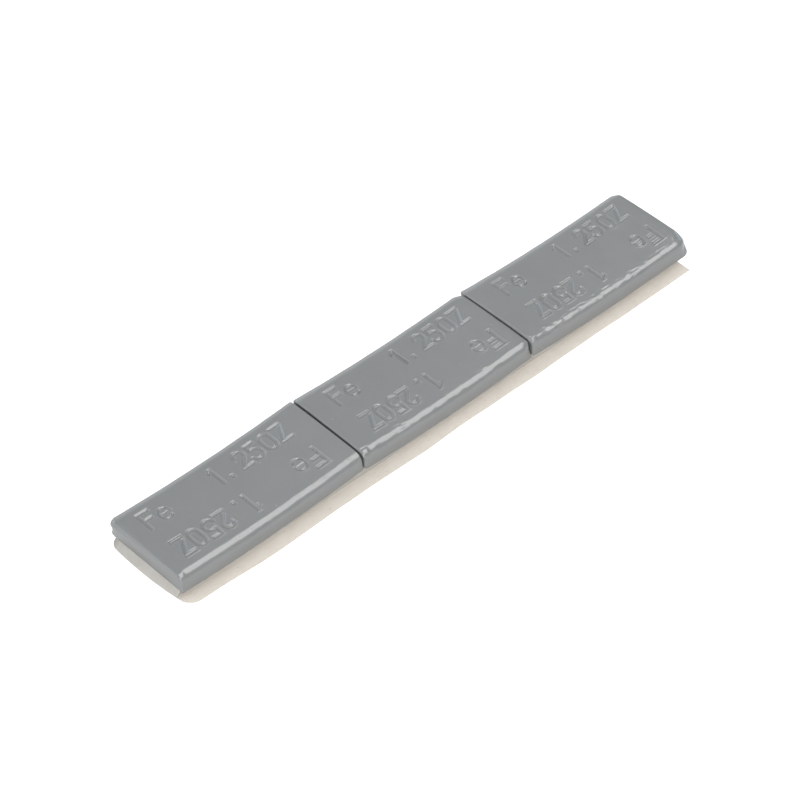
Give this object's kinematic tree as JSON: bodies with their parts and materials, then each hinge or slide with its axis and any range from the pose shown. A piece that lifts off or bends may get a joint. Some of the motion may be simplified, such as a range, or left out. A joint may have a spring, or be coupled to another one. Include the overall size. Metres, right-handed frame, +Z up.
{
  "type": "stick-on wheel balance weight strip",
  "caption": "Straight strip of gently bowed grey steel balance weights on adhesive foam tape, with a wider release liner underneath.",
  "frame": {"origin": "on the plane that the strip lies on, under the middle of the middle weight", "axes": "+X along the strip, +Y across it away from the liner's wide margin, +Z up from the liner to the stamped faces"},
  "size_m": [0.1461, 0.025, 0.007],
  "materials": {
    "grey_powder_coat": "semi-gloss grey paint over steel, slight orange peel",
    "foam": "matte closed-cell foam",
    "liner_paper": "smooth coated release paper, slightly sheer"
  },
  "bodies": {
    "root": {"left_weight": "grey_powder_coat", "middle_weight": "grey_powder_coat", "right_weight": "grey_powder_coat", "adhesive_foam_tape": "foam", "release_liner": "liner_paper"}
  },
  "joints": []
}
